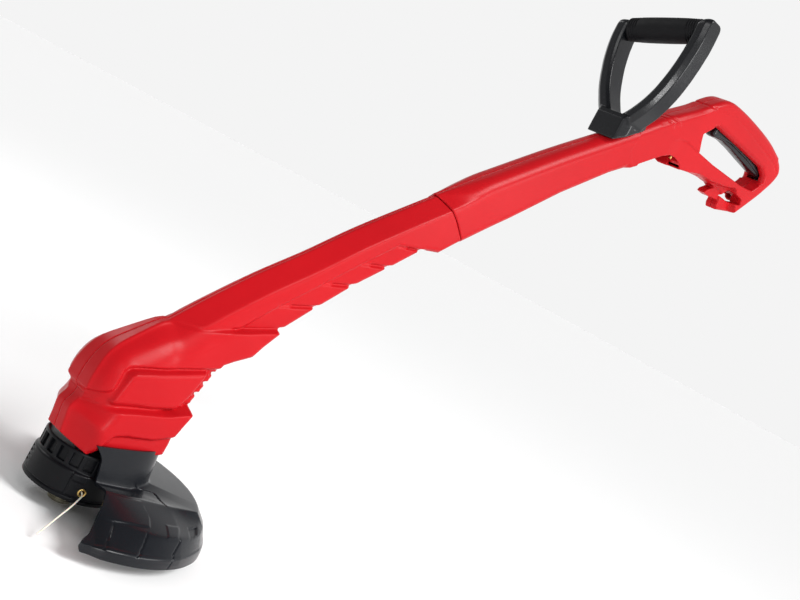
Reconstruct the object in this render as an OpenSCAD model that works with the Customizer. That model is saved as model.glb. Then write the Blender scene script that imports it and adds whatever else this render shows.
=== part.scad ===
// Corded electric string trimmer in its working attitude.
// Z is the axis of the cutting head, with the bump knob's ground face at the origin.
// +X runs rearwards to the rear handle and -Y is the operator's left side.

/* [Housing] */
// Half width of the motor housing at its foot
motor_half_w = 42; // [41:0.5:44]
// Half width of the shaft at the joint between the two lengths
shaft_half_w = 20.5; // [19:0.5:22]
// Wall thickness of the housing shells
shell_wall = 2.6; // [2:0.1:3]
// Half width of the rear handle
handle_half_w = 17.5; // [17:0.5:19]

/* [Cutting head] */
// Radius of the drum
drum_r = 42; // [41:0.5:43]
// Radius of the ribbed ring above the drum
ring_r = 39.5; // [39:0.5:40]
// Height of the drum's lower rim above the ground face
drum_low = 16; // [15:0.5:17]
// Height of the drum
drum_h = 26; // [24:1:27]
// Radius of the bump knob
knob_r = 11; // [9:0.5:12]
// Travel of the bump knob
knob_travel = 4; // [3:0.5:5]
// Diameter of the cutting line
line_d = 1.6; // [1.2:0.1:2]

/* [Motor] */
// Radius of the motor shaft
shaft_r = 4; // [4:1:4]
// Outer radius of the ball bearings
bearing_r = 11; // [11:1:11]
// Outer radius of the field core
field_r = 27; // [25:1:28]
// Outer radius of the armature core
armature_r = 15.5; // [15:0.5:16]

/* [Guard] */
// Radius of the guard's lower rim
rim_r = 137; // [132:1:140]
// Angle from the rear to the guard's left end
guard_left_angle = 107; // [95:1:110]
// Angle from the rear to the guard's right end
guard_right_angle = 64; // [60:1:75]
// Wall thickness of the guard
guard_wall = 2.4; // [2:0.1:3]

/* [Handles] */
// Height of the front grip's axis
grip_z = 707; // [704:1:710]
// Radius of the front grip
grip_r = 15; // [13:0.5:16]

/* [Hidden] */
$fn = 48;
eps = 0.01;
fit = 0.05; // radial running clearance

// Side profile: each station is [upper x, upper z, lower x, lower z, half width].
mw = motor_half_w;
sw = shaft_half_w;
lower_stations = [
  [-44, 66, 54, 76, mw - 1], [-45, 97, 57, 104, mw], [-42, 118, 63, 125, mw - 1],
  [-38, 133, 71, 144, mw - 3], [-30, 152, 83, 161, mw - 5], [-13, 170, 96, 178, mw - 8],
  [11, 192, 107, 196, mw - 11], [42, 222, 120, 215, 27], [82, 260, 141, 233, 24],
  [126, 299, 165, 260, 22.5], [170, 341, 206, 300, 21.5], [219, 384, 255, 344, 21],
  [253, 414, 294, 373, sw]];
upper_stations = [
  [253, 414, 294, 373, sw], [327, 474, 358, 429, 19.5], [388, 522, 415, 482, 19],
  [454, 571, 478, 534, 18.5], [505, 609, 522, 560, 18], [548, 640, 556, 584, 17.5]];
// Half section from ridge to keel: [height, width] as shares of the half height and half width
section_shape = [[1, 0], [0.975, 0.2], [0.89, 0.42], [0.74, 0.67], [0.58, 0.87], [0.42, 0.98],
  [0.2, 1], [-0.45, 1], [-0.75, 0.96], [-0.92, 0.84], [-0.99, 0.62], [-1, 0]];

// Rear handle in side view
handle_outline = [
  [540, 586], [556, 588], [594, 588], [640, 597], [700, 603], [716, 597],
  [690, 588], [685, 583], [690, 573], [764, 589], [795, 624], [818, 654],
  [823, 668], [818, 678], [806, 685], [760, 693], [705, 697], [661, 697],
  [630, 692], [608, 681], [585, 665], [551, 641], [540, 632]];
handle_window = [
  [609, 642], [621, 621], [663, 621], [744, 624], [764, 640], [776, 652],
  [770, 660], [700, 661], [632, 661]];
cable_window = [[724, 598], [738, 613], [768, 611], [773, 604], [750, 598]];
handle_pocket = [
  [538, 592], [603, 614], [606, 622], [598, 644], [618, 664], [780, 664], [810, 662],
  [814, 671], [806, 678], [760, 687], [705, 691], [661, 691], [634, 687], [608, 676],
  [553, 636], [538, 625]];
trigger_slot = [[636, 640], [812, 640], [812, 665], [636, 665]];
trigger_outline = [
  [641, 654], [648, 650], [656, 652], [680, 657], [722, 656], [773, 650], [798, 648],
  [806, 652], [806, 662], [800, 668], [700, 668], [652, 670], [641, 668]];
hook_finger = [[684, 590], [690, 594], [706, 604], [724, 604], [724, 592], [700, 590]];
trigger_axis = [798, 657];
switch_x = 670;
switch_z = 677;
spring_x = 712;
screws = [[80, 195], [118, 250], [196, 325], [330, 440], [420, 510], [505, 582]];

// Motor and head heights
head_top = 60;
hub_low = 50;
shaft_top = 164;
eyelet_angle = -105.4;
eyelet_z = 27;
rim_z = 12;
cutter_angle = 52;
wound_h = 20;
line_route = [[-10, -36.5, 27.5], [-14, -46, 27], [-22, -54, 25.5], [-34, -64, 22],
  [-48, -74, 17], [-61, -83, 11.5], [-73, -91, 6]];
loom_route = [[655.5, 0, 684], [632, 0, 676], [600, 0, 656], [555, 0, 617], [500, 0, 579],
  [440, 0, 536], [380, 0, 492], [320, 0, 445], [265, 0, 398], [215, 0, 356],
  [165, 0, 311], [120, 0, 270], [85, 0, 232], [62, 0, 208], [46, 0, 190], [36, 0, 172], [31, 0, 158]];

// ---- geometry helpers ----
// Catmull-Rom point at parameter t along a list of vectors
function spline(p, t) =
  let (n = len(p) - 1, i = min(floor(t), n - 1), f = t - i,
       a = p[max(i - 1, 0)], b = p[i], c = p[i + 1], d = p[min(i + 2, n)])
  0.5 * (2 * b + (c - a) * f + (2 * a - 5 * b + 4 * c - d) * f * f
    + (3 * b - a - 3 * c + d) * f * f * f);

// Point i of a housing section on the given side, set in from the skin by inset
function section_point(s, i, side, inset) =
  let (up = [s[0] - s[2], 0, s[1] - s[3]], h = norm(up), shape = section_shape[i])
  [s[0] + s[2], 0, s[1] + s[3]] / 2 + up / h * (h / 2 - inset) * shape[0]
    + [0, side * (s[4] - inset) * shape[1], 0];

// Ring of one half shell at one station, outer wall then inner wall
function half_ring(s, side) =
  let (last = len(section_shape) - 1)
  concat([for (i = [0:last]) section_point(s, i, side, 0)],
    [for (i = [last:-1:0]) section_point(s, i, side, shell_wall)]);

// Skin over rings of equal length, with flat ends closed by strips of quads
module ring_skin(rings, flip = false) {
  n = len(rings[0]);
  points = [for (r = rings) each r];
  last = (len(rings) - 1) * n;
  half = n / 2;
  walls = [for (i = [0:len(rings) - 2], j = [0:n - 1])
    let (a = i * n + j, b = i * n + (j + 1) % n)
    each [[a, b, b + n], [a, b + n, a + n]]];
  ends = [for (j = [0:half - 2], base = [0, last])
    let (a = base + j, b = base + j + 1, c = base + n - 2 - j, d = base + n - 1 - j)
    each base == 0 ? [[a, d, c], [a, c, b]] : [[a, b, c], [a, c, d]]];
  faces = concat(walls, ends);
  polyhedron(points, flip ? [for (f = faces) [f[2], f[1], f[0]]] : faces);
}

module half_shell(stations, side, per = 2) {
  count = (len(stations) - 1) * per;
  ring_skin([for (i = [0:count]) half_ring(spline(stations, i / per), side)], side < 0);
}

// Round tube swept along a route
module tube(route, r, sides = 8, per = 2) {
  count = (len(route) - 1) * per;
  points = [for (i = [0:count])
    let (p = spline(route, i / per),
         q = spline(route, min(i / per + 0.05, len(route) - 1)),
         o = spline(route, max(i / per - 0.05, 0)),
         t = (q - o) / norm(q - o),
         a = cross(t, [0.02, 1, 0.01]), u = a / norm(a), v = cross(t, u))
    each [for (k = [0:sides - 1])
      p + r * (u * cos(360 * k / sides) + v * sin(360 * k / sides))]];
  faces = concat([[for (k = [0:sides - 1]) k]],
    [for (i = [0:count - 1], k = [0:sides - 1])
      let (a = i * sides + k, b = i * sides + (k + 1) % sides)
      each [[a, a + sides, b + sides], [a, b + sides, b]]],
    [[for (k = [sides - 1:-1:0]) count * sides + k]]);
  polyhedron(points, faces);
}

// Compression spring standing on the XY plane
module coil(r, wire, height, turns) {
  steps = turns * 10;
  tube([for (i = [0:steps])
    [r * cos(36 * i), r * sin(36 * i), wire + (height - 2 * wire) * i / steps]],
    wire, 6, 1);
}

module along_y(x, z, y0, y1, r) {
  translate([x, y0, z]) rotate([-90, 0, 0]) cylinder(r = r, h = y1 - y0);
}

module ring(r_out, r_in, h) {
  difference() {
    cylinder(r = r_out, h = h);
    translate([0, 0, -1]) cylinder(r = r_in, h = h + 2);
  }
}

// Side-view outline extruded across Y from y0 to y1
module across(outline, y0, y1) {
  translate([0, y1, 0]) rotate([90, 0, 0]) linear_extrude(y1 - y0) polygon(outline);
}

module box(low, high) {
  translate(low) cube(high - low);
}

// ---- housing ----
module lower_housing_left() {
  color("red") half_shell(lower_stations, -1);
}

module lower_housing_right() {
  color("red") half_shell(lower_stations, 1);
}

// Half of the rear handle: y runs from the middle plane outwards on the left side
module handle_half() {
  difference() {
    union() {
      across(handle_outline, -handle_half_w + 6, 0);
      for (step = [[3, 2], [0, 5]])
        translate([0, step[0] - handle_half_w + 3, 0]) rotate([90, 0, 0]) linear_extrude(3)
          offset(delta = -step[1]) polygon(handle_outline);
    }
    across(handle_window, -handle_half_w - 1, 1);
    across(cable_window, -handle_half_w - 1, 1);
    across(handle_pocket, -handle_half_w + shell_wall, 1);
    across(trigger_slot, -9, 1);
    box([566, -15, 580], [592, 1, 615]);
    along_y(trigger_axis[0], trigger_axis[1], -14, 1, 2);
  }
  across(hook_finger, -6, 0);
}

module upper_housing_left() {
  color("red") {
    half_shell(upper_stations, -1);
    handle_half();
  }
}

module upper_housing_right() {
  color("red") {
    half_shell(upper_stations, 1);
    mirror([0, 1, 0]) handle_half();
  }
}

module joint_sleeve() {
  color("dimgray") translate([248, 0, 377]) rotate([0, 51, 0]) ring(15, 12, 56);
}

module housing_screws() {
  color("silver") for (p = screws) {
    along_y(p[0], p[1] - 8, -12, 10, 1.7);
    along_y(p[0], p[1] - 8, 10, 13, 3.4);
  }
}

// ---- motor ----
module field_core() {
  color("gray") translate([0, 0, 102]) ring(field_r, armature_r + 0.8, 32);
}

module field_windings() {
  color("peru") for (z = [96, 134]) translate([0, 0, z]) ring(25, armature_r + 1.5, 6);
}

module bearing(z) {
  translate([0, 0, z]) ring(bearing_r, shaft_r + fit, 7);
}

module upper_bearing() {
  color("silver") bearing(155);
}

module lower_bearing() {
  color("silver") bearing(76);
}

module upper_bracket() {
  color("dimgray") difference() {
    union() {
      translate([0, 0, 154]) cylinder(r = 13, h = 9);
      box([-5, -23, 156], [8, 23, 160]);
    }
    translate([0, 0, 155]) cylinder(r = bearing_r, h = 7);
    translate([0, 0, 150]) cylinder(r = 6, h = 30);
  }
}

module bearing_plate() {
  color("dimgray") difference() {
    union() {
      translate([0, 0, 79]) cylinder(r = 38, h = 4);
      translate([0, 0, 75]) cylinder(r = 14, h = 9);
    }
    translate([0, 0, 76]) cylinder(r = bearing_r, h = 7);
    translate([0, 0, 70]) cylinder(r = 6, h = 20);
    for (a = [45:90:315]) rotate([0, 0, a]) translate([25, 0, 70]) cylinder(r = 6, h = 20);
  }
}

// The pair of parts that sit each side of the commutator
module both_sides() {
  children();
  mirror([0, 1, 0]) children();
}

module brush_holders() {
  color("tan") both_sides() difference() {
    box([-5, 12, 141], [5, 26, 153]);
    box([-3, 11, 143], [3, 25, 151]);
  }
}

module carbon_brushes() {
  color("black") both_sides() box([-3, 10.6, 143], [3, 18, 151]);
}

module brush_springs() {
  color("silver") both_sides() translate([0, 18, 147]) rotate([-90, 0, 0]) coil(2.2, 0.35, 7, 4);
}

module armature_shaft() {
  color("silver") translate([0, 0, hub_low + 2]) cylinder(r = shaft_r, h = shaft_top - hub_low - 2);
}

module armature_core() {
  color("gray") translate([0, 0, 102]) ring(armature_r, shaft_r, 32);
}

module armature_windings() {
  color("peru") for (z = [97, 134]) translate([0, 0, z]) ring(13.5, shaft_r, 5);
}

module commutator() {
  color("peru") translate([0, 0, 140]) difference() {
    ring(10, shaft_r, 13);
    for (a = [0:30:330]) rotate([0, 0, a]) translate([9, -0.3, -1]) cube([2, 0.6, 15]);
  }
}

module cooling_fan() {
  blades = 9;
  color("dimgray") {
    translate([0, 0, 88]) difference() {
      union() {
        cylinder(r = 30, h = 1.6);
        cylinder(r = 8, h = 8);
        for (i = [0:blades - 1]) rotate([0, 0, i * 360 / blades])
          translate([7, -0.8, 0]) cube([22, 1.6, 8]);
      }
      translate([0, 0, -1]) cylinder(r = shaft_r, h = 10);
    }
  }
}

// ---- cutting head ----
module spool_housing() {
  ribs = 18;
  step_z = drum_low + drum_h;
  color("black") difference() {
    union() {
      translate([0, 0, drum_low]) cylinder(r = drum_r, h = drum_h);
      translate([0, 0, step_z - 1]) cylinder(r = ring_r, h = head_top - step_z + 1);
      translate([0, 0, hub_low]) cylinder(r = 9, h = 20);
    }
    translate([0, 0, drum_low - 1]) difference() {
      cylinder(r = ring_r - 2.5, h = head_top - drum_low - 2);
      translate([0, 0, hub_low - drum_low + 1]) cylinder(r = 9, h = 20);
    }
    translate([0, 0, drum_low - 1]) cylinder(r = drum_r - 2.5, h = 5);
    translate([0, 0, hub_low - 5]) cylinder(r = shaft_r, h = 40);
    rotate([0, 0, eyelet_angle]) translate([30, 0, eyelet_z]) rotate([0, 90, 0])
      cylinder(r = 3, h = 20);
    for (i = [0:ribs - 1]) rotate([0, 0, (i + 0.5) * 360 / ribs])
      translate([30, -4.4, step_z + 3.5]) cube([12, 8.8, 9]);
  }
}

module head_cap() {
  color("black") translate([0, 0, drum_low]) ring(drum_r - 2.5, knob_r + 0.4, 3);
}

module line_eyelet() {
  color("gold") rotate([0, 0, eyelet_angle]) translate([drum_r - 5, 0, eyelet_z])
    rotate([0, 90, 0]) difference() {
      union() {
        cylinder(r = 3, h = 5);
        translate([0, 0, 5]) cylinder(r = 3.8, h = 1.1);
      }
      translate([0, 0, -1]) cylinder(r = 2.2, h = 10);
      translate([-5, -5, 6.1]) cube(10);
    }
}

module cutting_line() {
  color("ivory") tube(line_route, line_d / 2, 8, 3);
}

module knob_spring() {
  color("silver") translate([0, 0, 28]) coil(9.6, 0.6, hub_low - 28.2, 5);
}

module bump_knob() {
  color("silver") union() {
    cylinder(r = knob_r, h = drum_low + 5);
    translate([0, 0, drum_low + 5 - eps]) cylinder(r = 14, h = 2);
    translate([0, 0, drum_low + 6]) cylinder(r = 6, h = 8);
  }
}

module line_spool() {
  color("dimgray") difference() {
    union() {
      translate([0, 0, 24]) cylinder(r = 34, h = 2);
      translate([0, 0, 46]) cylinder(r = 34, h = 2);
      translate([0, 0, 24]) cylinder(r = 15, h = 24);
    }
    translate([0, 0, 28]) cylinder(r = 12, h = 30);
    translate([0, 0, 20]) cylinder(r = 6 + fit, h = 20);
  }
}

module wound_line() {
  color("ivory") translate([0, 0, 26]) ring(27, 15, wound_h);
}

// ---- guard ----
// Plan radius of the neck: a rounded box, longer to the rear than to the sides
function neck_radius(a) = pow(pow(abs(cos(a)) / 61, 3.4) + pow(abs(sin(a)) / 43, 3.4), -1 / 3.4);
function crease_radius(a) = max(min(118, 76 / max(abs(sin(a)), 0.01)), 72);
function shoulder_radius(a) = 129 - 25 * pow(max(abs(a) - 45, 0) / 60, 2);
function neck_top(a) = 65.6 + 0.1 * (neck_radius(a) * cos(a) + 47);

// Ring of the guard at share f of its sweep, from -1 to 1: outer wall down, inner wall up
function guard_ring(f) =
  let (ends = [1.02, 0.98, 0.89, 0.95, 1.05, 1.06], t = guard_wall,
       angle = [for (e = ends) f < 0 ? f * e * guard_left_angle : f * guard_right_angle],
       n = neck_radius(angle[0]), m = neck_radius(angle[1]) + 4,
       c = crease_radius(angle[2]), s = shoulder_radius(angle[3]),
       outer = [[n, neck_top(angle[0])], [m, 49], [c, 46], [s, 35], [rim_r - 1, rim_z + 6], [rim_r, rim_z]],
       inner = [[n - t, neck_top(angle[0])], [m - t, 49 - t], [c - t / 2, 46 - t],
                [s - t, 35 - t / 2], [rim_r - 1 - t, rim_z + 6], [rim_r - t, rim_z]])
  concat([for (i = [0:5]) [outer[i][0] * cos(angle[i]), outer[i][0] * sin(angle[i]), outer[i][1]]],
    [for (i = [5:-1:0]) [inner[i][0] * cos(angle[i]), inner[i][0] * sin(angle[i]), inner[i][1]]]);

module guard() {
  steps = 42;
  color("black") {
    ring_skin([for (i = [0:steps]) guard_ring(2 * i / steps - 1)], true);
    both_sides() translate([49, 16, 58]) ring(8, 1.75, 15);
    rotate([0, 0, cutter_angle]) translate([0, 0, rim_z + 3]) difference() {
      box([124, -7, 0.2], [136, 7, 3]);
      translate([129, 0, -1]) cylinder(r = 1.6, h = 6);
    }
  }
}

module guard_screws() {
  color("silver") both_sides() translate([49, 16, 58]) {
    cylinder(r = 1.7, h = 22);
    translate([0, 0, -2]) cylinder(r = 3.4, h = 2);
  }
}

module line_cutter() {
  color("silver") rotate([0, 0, cutter_angle]) translate([0, 0, rim_z + 2]) difference() {
    box([118.5, -5, 0], [133, 5, 1.2]);
    translate([129, 0, -1]) cylinder(r = 1.6, h = 3);
  }
}

module cutter_screws() {
  color("silver") rotate([0, 0, cutter_angle]) translate([129, 0, rim_z]) {
    cylinder(r = 1.5, h = 7);
    cylinder(r = 3, h = 2);
  }
}

// ---- front handle ----
arm_depth = 33; // along X
arm_thick = 12;
grip_slope = 0.28; // the left end of the grip stands higher
// Middle of the left arm from the saddle to the grip, as [y, z]
arm_route = [[-10, 590], [-21, 604], [-33, 625], [-46, 656], [-53, 690], [-54, 716]];

// Lean of the loop along X, and lift of its left side, at height z
function lean(z) = 466 - 0.06 * max(z - 640, 0);
function lift(y, z) = -grip_slope * y * max(z - 610, 0) / 104;

// Ring of the arm section at route point p with the route direction d
function arm_ring(p, d, side) =
  let (u = [d[1], -d[0]] / norm(d), w = arm_thick / 2, h = arm_depth / 2, b = 4)
  [for (c = [[-w, b - h], [b - w, -h], [w - b, -h], [w, b - h], [w, h - b], [w - b, h],
             [b - w, h], [-w, h - b]])
    let (q = p + u * c[0], y = -side * q[0]) [lean(p[1]) + c[1], y, q[1] + lift(y, p[1])]];

module arm(side) {
  per = 3;
  count = (len(arm_route) - 1) * per;
  rings = [for (i = [0:count])
    let (t = i / per, p = spline(arm_route, t),
         d = spline(arm_route, min(t + 0.05, count / per)) - spline(arm_route, max(t - 0.05, 0)))
    arm_ring(p, d, side)];
  n = 8;
  points = [for (r = rings) each r];
  faces = concat([[for (k = [0:n - 1]) k]],
    [for (i = [0:count - 1], k = [0:n - 1])
      let (a = i * n + k, b = i * n + (k + 1) % n)
      each [[a, a + n, b + n], [a, b + n, b]]],
    [[for (k = [n - 1:-1:0]) count * n + k]]);
  polyhedron(points, side > 0 ? faces : [for (f = faces) [for (k = [len(f) - 1:-1:0]) f[k]]]);
}

// Along the grip's own axis, with Z running from the right arm to the left one
module at_grip() {
  translate([lean(grip_z), 0, grip_z]) rotate([90 - atan(grip_slope), 0, 0]) children();
}

module front_handle_frame() {
  saddle = [[450, 566], [451, 590], [456, 603], [484, 604], [496, 602], [493, 598]];
  half = 51;
  color("dimgray") difference() {
    union() {
      arm(1);
      arm(-1);
      across(saddle, -18, 18);
      at_grip() translate([0, 0, -half]) cylinder(r = 9, h = 2 * half);
    }
    along_y(466, 592, -30, 30, 3.05);
    both_sides() along_y(466, 592, 18, 40, 6.5);
    across([[430, 540], [430, 553.5], [454, 571.6], [505, 609.6], [530, 612], [530, 540]], -60, 60);
  }
}

module front_grip_sleeve() {
  half = 47;
  color("black") at_grip() difference() {
    translate([0, 0, -half]) cylinder(r = grip_r, h = 2 * half);
    translate([0, 0, -half - 1]) cylinder(r = 9, h = 2 * half + 2);
    for (k = [0:3], side = [-1, 1]) translate([0, 0, side * (half - 3 - 3 * k) - 0.6])
      ring(grip_r + 1, grip_r - 0.8, 1.2);
  }
}

module handle_bolt() {
  color("silver") {
    along_y(466, 592, -24, 18, 3);
    along_y(466, 592, 18, 22, 5.5);
  }
}

module handle_nut() {
  color("silver") difference() {
    along_y(466, 592, -23, -18, 5.5);
    along_y(466, 592, -30, -15, 3);
  }
}

// ---- rear handle fittings ----
module switch_body() {
  color("black") difference() {
    box([switch_x - 14, -8, switch_z], [switch_x + 14, 8, 690]);
    translate([switch_x, 0, 670]) cylinder(r = 2 + fit, h = 19);
  }
}

module switch_plunger() {
  color("red") translate([switch_x, 0, 670.3]) cylinder(r = 2, h = 11.5);
}

module trigger_lever() {
  color("black") difference() {
    across(trigger_outline, -8.5, 8.5);
    along_y(trigger_axis[0], trigger_axis[1], -10, 10, 2 + fit);
  }
}

module trigger_pin() {
  color("silver") along_y(trigger_axis[0], trigger_axis[1], -13.8, 13.8, 2);
}

module trigger_spring() {
  color("silver") translate([spring_x, 0, 668.2]) coil(4, 0.5, 22, 6);
}

module inlet_insert() {
  color("black") box([564, -14.6, 615.2], [594, 14.6, 620]);
}

module inlet_pins() {
  color("silver") both_sides() translate([579, 9.5, 594]) {
    cylinder(r = 2, h = 21.2);
  }
}

module suppressor_capacitor() {
  color("yellow") box([574, 3, 628], [590, 13, 639]);
}

module wiring_loom() {
  color("navy") tube(loom_route, 2.2, 8, 3);
}

lower_housing_left();
lower_housing_right();
upper_housing_left();
upper_housing_right();
joint_sleeve();
housing_screws();
field_core();
field_windings();
upper_bearing();
lower_bearing();
upper_bracket();
bearing_plate();
brush_holders();
carbon_brushes();
brush_springs();
guard();
guard_screws();
line_cutter();
cutter_screws();
front_handle_frame();
front_grip_sleeve();
handle_bolt();
handle_nut();
switch_body();
trigger_pin();
inlet_insert();
inlet_pins();
suppressor_capacitor();
wiring_loom();
armature_shaft();
armature_core();
armature_windings();
commutator();
cooling_fan();
spool_housing();
head_cap();
line_eyelet();
cutting_line();
knob_spring();
bump_knob();
line_spool();
wound_line();
trigger_lever();
trigger_spring();
switch_plunger();
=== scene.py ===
"""Corded string trimmer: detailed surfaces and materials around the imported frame.

The design tables are in millimetres, and add_mesh() turns them into metres. Side views are (x, z).
Signed distances and fields are negative inside the material.
"""
import functools
import itertools
import math

import bmesh
import bpy
import numpy as np
from mathutils import Matrix, Vector


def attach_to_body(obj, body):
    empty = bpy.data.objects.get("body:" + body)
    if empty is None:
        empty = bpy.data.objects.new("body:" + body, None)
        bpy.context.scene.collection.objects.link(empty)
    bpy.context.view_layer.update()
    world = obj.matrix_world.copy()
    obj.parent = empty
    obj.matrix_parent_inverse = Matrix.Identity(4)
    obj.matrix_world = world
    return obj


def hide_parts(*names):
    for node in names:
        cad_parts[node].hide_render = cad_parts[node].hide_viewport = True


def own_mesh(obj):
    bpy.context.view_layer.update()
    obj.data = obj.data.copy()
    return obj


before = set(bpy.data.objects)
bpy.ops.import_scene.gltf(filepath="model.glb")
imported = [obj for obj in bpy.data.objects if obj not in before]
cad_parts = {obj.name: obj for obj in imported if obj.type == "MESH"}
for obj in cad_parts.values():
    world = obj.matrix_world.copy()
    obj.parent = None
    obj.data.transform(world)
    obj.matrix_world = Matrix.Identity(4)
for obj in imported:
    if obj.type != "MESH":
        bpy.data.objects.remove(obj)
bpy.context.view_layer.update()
MM = 0.001
CELL = 1.0            # grid step of the shells and the front frame
TRIGGER_CELL = 0.7
MAX_MOVE = 0.35       # cells that a vertex may move in one Newton step
WALL = 2.4            # thickness of the shells and the guard


# ---- camera, light, stage
LENS, SENSOR = 54.83, 36.0
CAMERA_AT = (-0.68038, -0.86803, 0.37034)
CAMERA_RIGHT = (0.6102, -0.6339, 0.4752)
CAMERA_BACK = (-0.7405, -0.6696, 0.0577)
# The sky's strength by the upward and the sideways part of its direction: from, to, strength there
SKY_HEIGHT = (0.32, 0.85, 0.905, 0.22)
SKY_SIDE = (-0.85, 0.1, 0.55, 1.0)
SUN_FROM, SUN_POWER, SUN_ANGLE = (0.3, -0.85, 0.9), 2.45, 24
# Name, place, point it aims at, width, height, power
AREA_LIGHTS = [("key", (-0.9, -1.6, 1.3), (0.3, 0, 0.4), 0.7, 0.7, 5),
               ("side", (1.3, -1.3, 0.7), (0.1, 0, 0.1), 0.6, 0.6, 7),
               ("rim", (-0.4, 1.7, 1.6), (0.35, 0, 0.4), 1.0, 0.5, 8),
               ("glint", (-0.46, -1.15, 0.21), (0.45, -0.05, 0.66), 0.3, 0.16, 4)]
FLOOR_HALF, FLOOR_Z, FLOOR_GREY = 40.0, -0.0004, 0.98


def add_object(name, data):
    obj = bpy.data.objects.new(name, data)
    bpy.context.scene.collection.objects.link(obj)
    return obj


def add_camera():
    data = bpy.data.cameras.new("camera")
    data.lens, data.sensor_width = LENS, SENSOR
    data.clip_start, data.clip_end = 0.05, 60.0
    right, back = Vector(CAMERA_RIGHT).normalized(), Vector(CAMERA_BACK).normalized()
    up = back.cross(right).normalized()
    turn = Matrix((up.cross(back).normalized(), up, back)).transposed()
    cam = add_object("camera", data)
    cam.matrix_world = Matrix.Translation(CAMERA_AT) @ turn.to_4x4()
    bpy.context.scene.camera = cam


def add_light(kind, name, ray, power, **values):
    """A light that shines along ray."""
    data = bpy.data.lights.new(name, kind)
    data.energy = power
    for key, value in values.items():
        setattr(data, key, value)
    light = add_object(name, data)
    light.rotation_euler = ray.to_track_quat("-Z", "Y").to_euler()
    return light


def add_studio():
    """Sky that is pale at the horizon, dimmer overhead and on the side of the trimmer's foot."""
    world = bpy.data.worlds.new("studio")
    bpy.context.scene.world = world
    sky = Nodes(world)
    split = sky.node("SeparateXYZ", sky.coords["Generated"]).outputs
    both = sky.node("Math", sky.remap(split["Z"], *SKY_HEIGHT))
    both.operation = "MULTIPLY"
    sky.link(sky.remap(split["X"], *SKY_SIDE), both.inputs[1])
    back = sky.tree.nodes["Background"]
    back.inputs["Color"].default_value = (1, 1, 1, 1)
    sky.link(both.outputs["Value"], back.inputs["Strength"])
    bpy.context.scene.view_settings.view_transform = "Standard"
    add_light("SUN", "sun_key", -Vector(SUN_FROM), SUN_POWER, angle=math.radians(SUN_ANGLE))
    for name, where, aim, width, height, power in AREA_LIGHTS:
        light = add_light("AREA", name, Vector(aim) - Vector(where), power, shape="RECTANGLE",
                          size=width, size_y=height)
        light.location = where
    mesh = bpy.data.meshes.new("floor")
    far = FLOOR_HALF
    mesh.from_pydata([(x, y, FLOOR_Z) for x, y in ((-far, -far), (far, -far), (far, far), (-far, far))],
                     [], [(0, 1, 2, 3)])
    paper = Nodes(bpy.data.materials.new("floor_paper"))
    paper.set(Base_Color=(FLOOR_GREY, FLOOR_GREY, FLOOR_GREY, 1), Roughness=0.9)
    mesh.materials.append(paper.owner)
    add_object("floor", mesh)


# ---- materials
class Nodes:
    """Small helper that writes the node tree of a material or a world."""

    def __init__(self, owner):
        owner.use_nodes = True
        self.owner, self.tree = owner, owner.node_tree
        self.bsdf = self.tree.nodes.get("Principled BSDF")
        self.coords = self.node("TexCoord").outputs

    def link(self, a, b):
        self.tree.links.new(a, b)

    def node(self, kind, source=None, into=0, **values):
        """New node with values on its inputs, fed by source."""
        n = self.tree.nodes.new("ShaderNode" + kind)
        fill(n, values)
        if source is not None:
            self.link(source, n.inputs[into])
        return n

    def feed(self, socket, source):
        self.link(source, self.bsdf.inputs[socket])

    def set(self, **values):
        fill(self.bsdf, values)

    def noise(self, scale, detail=3.0, rough=0.55, stretch=None):
        source = self.coords["Object"]
        if stretch:
            source = self.node("Mapping", source, Scale=stretch).outputs["Vector"]
        return self.node("TexNoise", source, Scale=scale, Detail=detail, Roughness=rough).outputs["Fac"]

    def ramp(self, fac, *stops):
        """Colour between two stops of (place, colour)."""
        r = self.node("ValToRGB", fac)
        for stop, (at, colour) in zip(r.color_ramp.elements, stops):
            stop.position, stop.color = at, (*colour, 1)
        return r.outputs["Color"]

    def remap(self, fac, low, high, to_low, to_high):
        return self.node("MapRange", fac, From_Min=low, From_Max=high, To_Min=to_low,
                         To_Max=to_high).outputs["Result"]

    def bump(self, height, strength, distance, before=None):
        b = self.node("Bump", height, "Height", Strength=strength, Distance=distance)
        if before is not None:
            self.link(before, b.inputs["Normal"])
        return b.outputs["Normal"]


def fill(node, values):
    for key, value in values.items():
        node.inputs[key.replace("_", " ")].default_value = value


def plastic(name, base, spread, rough, grain, grain_depth, level=0.5):
    """Moulded plastic: faint colour drift, gloss that varies, fine surface grain and rub marks."""
    n = Nodes(bpy.data.materials.new(name))
    n.feed("Base Color", n.ramp(n.noise(9.0, 4.0), (0.3, [c * (1 - spread) for c in base]),
                                (0.7, [c * (1 + spread) for c in base])))
    n.feed("Roughness", n.remap(n.noise(60.0, 6.0, 0.7, (1, 1, 4)), 0.3, 0.75, *rough))
    fine = n.bump(n.noise(grain, 2.0), grain_depth, 0.0004)
    n.feed("Normal", n.bump(n.noise(26.0, 1.0), 0.06, 0.0006, fine))
    n.set(IOR=1.5, Specular_IOR_Level=level)
    return n.owner


def metal(name, base, rough, brushed=(1, 1, 12), stain=None, scale=240.0):
    """Metal with fine machining lines, cloudy tarnish and small stains."""
    n = Nodes(bpy.data.materials.new(name))
    dark = stain or [c * 0.72 for c in base]
    n.feed("Base Color", n.ramp(n.noise(70.0, 5.0), (0.32, dark), (0.62, base)))
    lines = n.noise(scale, 3.0, 0.6, brushed)
    n.feed("Roughness", n.remap(lines, 0.3, 0.7, *rough))
    n.feed("Normal", n.bump(lines, 0.25, 0.0002))
    n.set(Metallic=1.0)
    return n.owner


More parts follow.
